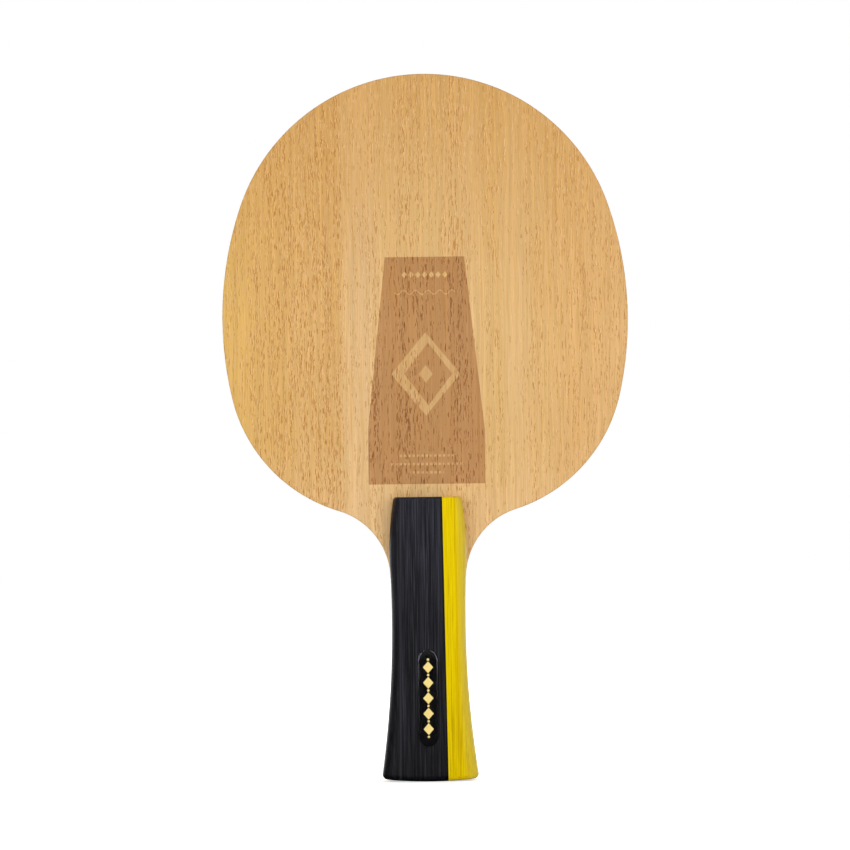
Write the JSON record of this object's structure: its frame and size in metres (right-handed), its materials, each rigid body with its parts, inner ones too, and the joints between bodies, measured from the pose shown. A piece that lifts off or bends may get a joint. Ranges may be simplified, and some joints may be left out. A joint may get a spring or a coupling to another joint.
{
  "type": "table tennis paddle",
  "caption": "Bare wooden table tennis blade with a rounded head, a flared two-tone handle and a small domed badge.",
  "frame": {"origin": "centre of the grip: half way along the handle, on the blade's mid plane", "axes": "+X across the face, towards the yellow strip of the front scale; +Y through the thickness, away from the printed front face; +Z along the handle towards the head's tip"},
  "size_m": [0.15, 0.0234, 0.2615],
  "materials": {
    "core_wood": "raw, cut edge",
    "inner_wood": "raw, cut edge",
    "carbon": "woven carbon fibre in glue, cut edge",
    "face_wood": "sanded veneer, thin satin lacquer",
    "black_wood": "black stained open-grain wood, satin",
    "yellow_wood": "yellow stained open-grain wood, satin",
    "badge_black": "gloss black",
    "badge_gold": "gold foil",
    "badge_clear": "clear cast resin"
  },
  "bodies": {
    "root": {"core_ply": "core_wood", "front_inner_ply": "inner_wood", "back_inner_ply": "inner_wood", "front_carbon_layer": "carbon", "back_carbon_layer": "carbon", "front_face_ply": "face_wood", "back_face_ply": "face_wood", "front_black_strip": "black_wood", "front_yellow_strip": "yellow_wood", "back_black_strip": "black_wood", "back_yellow_strip": "yellow_wood", "badge_plate": "badge_black", "badge_emblem": "badge_gold", "badge_dome": "badge_clear"}
  },
  "joints": []
}
